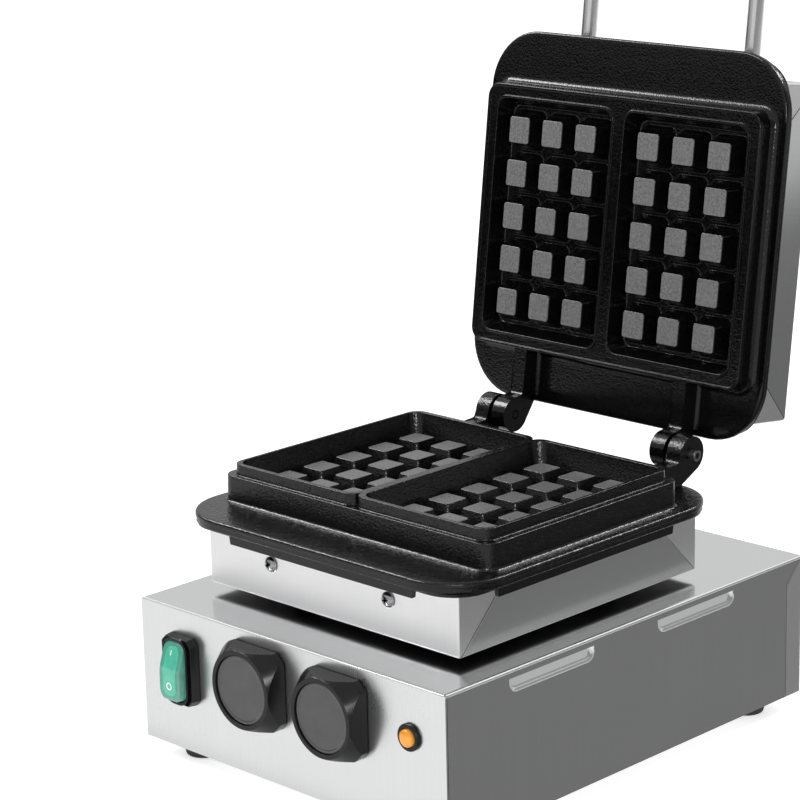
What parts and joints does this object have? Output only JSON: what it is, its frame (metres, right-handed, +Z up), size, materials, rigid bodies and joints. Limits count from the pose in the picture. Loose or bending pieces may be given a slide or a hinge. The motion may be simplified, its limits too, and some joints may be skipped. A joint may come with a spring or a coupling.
{
  "type": "waffle iron",
  "caption": "Countertop waffle iron with a hinged upper plate standing open, deep square waffle cavities, a stainless cabinet, a rocker switch and rotary controls.",
  "frame": {"origin": "under the middle of the whole machine with its lid open, on the surface that it stands on", "axes": "+Z up, +X to the operator's right, +Y to the rear where the hinge is"},
  "size_m": [0.25, 0.3744, 0.4695],
  "materials": {
    "stainless": "brushed stainless sheet",
    "cast_iron": "smooth satin black coating",
    "screw_steel": "bright zinc plated",
    "pin_steel": "dark oiled steel",
    "black_plastic": "satin black",
    "green_lens": "translucent green, lit from inside",
    "amber_lens": "clear amber",
    "rubber": "matt black",
    "aluminium": "plain mill finish",
    "element_steel": "heat-darkened sheath",
    "insulation_felt": "matt white fibre pad",
    "ceramic": "smooth off-white",
    "brass": "bare brass"
  },
  "bodies": {
    "cabinet": {"base_cover": "stainless", "front_panel": "stainless", "rear_panel": "stainless", "bottom_plate": "stainless", "foot_front_left": "rubber", "foot_front_right": "rubber", "foot_rear_left": "rubber", "foot_rear_right": "rubber", "foot_screw_front_left": "screw_steel", "foot_screw_front_right": "screw_steel", "foot_screw_rear_left": "screw_steel", "foot_screw_rear_right": "screw_steel", "lower_housing": "stainless", "spacer_front_left": "rubber", "spacer_front_right": "rubber", "spacer_rear_left": "rubber", "spacer_rear_right": "rubber", "lower_casting": "cast_iron", "lower_screw_front_left": "screw_steel", "lower_screw_front_right": "screw_steel", "lower_screw_rear_left": "screw_steel", "lower_screw_rear_right": "screw_steel", "hinge_pin_right": "pin_steel", "hinge_pin_left": "pin_steel", "lower_element": "element_steel", "lower_heat_plate": "aluminium", "lower_insulation": "insulation_felt", "thermostat_bulb": "brass", "lower_lead_bush": "rubber", "switch_bezel": "black_plastic", "switch_body": "black_plastic", "thermostat_body": "aluminium", "thermostat_nut": "brass", "timer_body": "aluminium", "timer_nut": "brass", "lamp_body": "black_plastic", "lamp_lens": "amber_lens", "terminal_block": "ceramic", "power_gland": "black_plastic", "power_gland_nut": "black_plastic"},
    "lid": {"upper_casting": "cast_iron", "upper_housing": "stainless", "upper_screw_front_left": "screw_steel", "upper_screw_front_right": "screw_steel", "upper_screw_rear_left": "screw_steel", "upper_screw_rear_right": "screw_steel", "upper_element": "element_steel", "upper_heat_plate": "aluminium", "upper_insulation": "insulation_felt", "lid_lead_bush": "rubber", "handle_bracket": "stainless", "handle_grip": "black_plastic", "handle_nut_left": "screw_steel", "handle_nut_right": "screw_steel"},
    "rocker": {"rocker": "green_lens"},
    "thermostat_dial": {"thermostat_knob": "black_plastic", "thermostat_shaft": "brass"},
    "timer_dial": {"timer_knob": "black_plastic", "timer_shaft": "brass"}
  },
  "joints": [
    {"name": "lid_hinge", "type": "hinge", "parent": "cabinet", "child": "lid", "pos_m": [0, 0.08757, 0.1689], "axis": [1, 0, 0], "range_deg": [0, 97.4]},
    {"name": "rocker_tilt", "type": "hinge", "parent": "cabinet", "child": "rocker", "pos_m": [-0.088, -0.17703, 0.0635], "axis": [1, 0, 0], "range_deg": [0, 18]},
    {"name": "thermostat_turn", "type": "hinge", "parent": "cabinet", "child": "thermostat_dial", "pos_m": [-0.024, -0.17303, 0.0695], "axis": [0, 1, 0], "range_deg": [0, 270]},
    {"name": "timer_turn", "type": "hinge", "parent": "cabinet", "child": "timer_dial", "pos_m": [0.042, -0.17303, 0.0695], "axis": [0, 1, 0], "range_deg": [0, 300]}
  ]
}
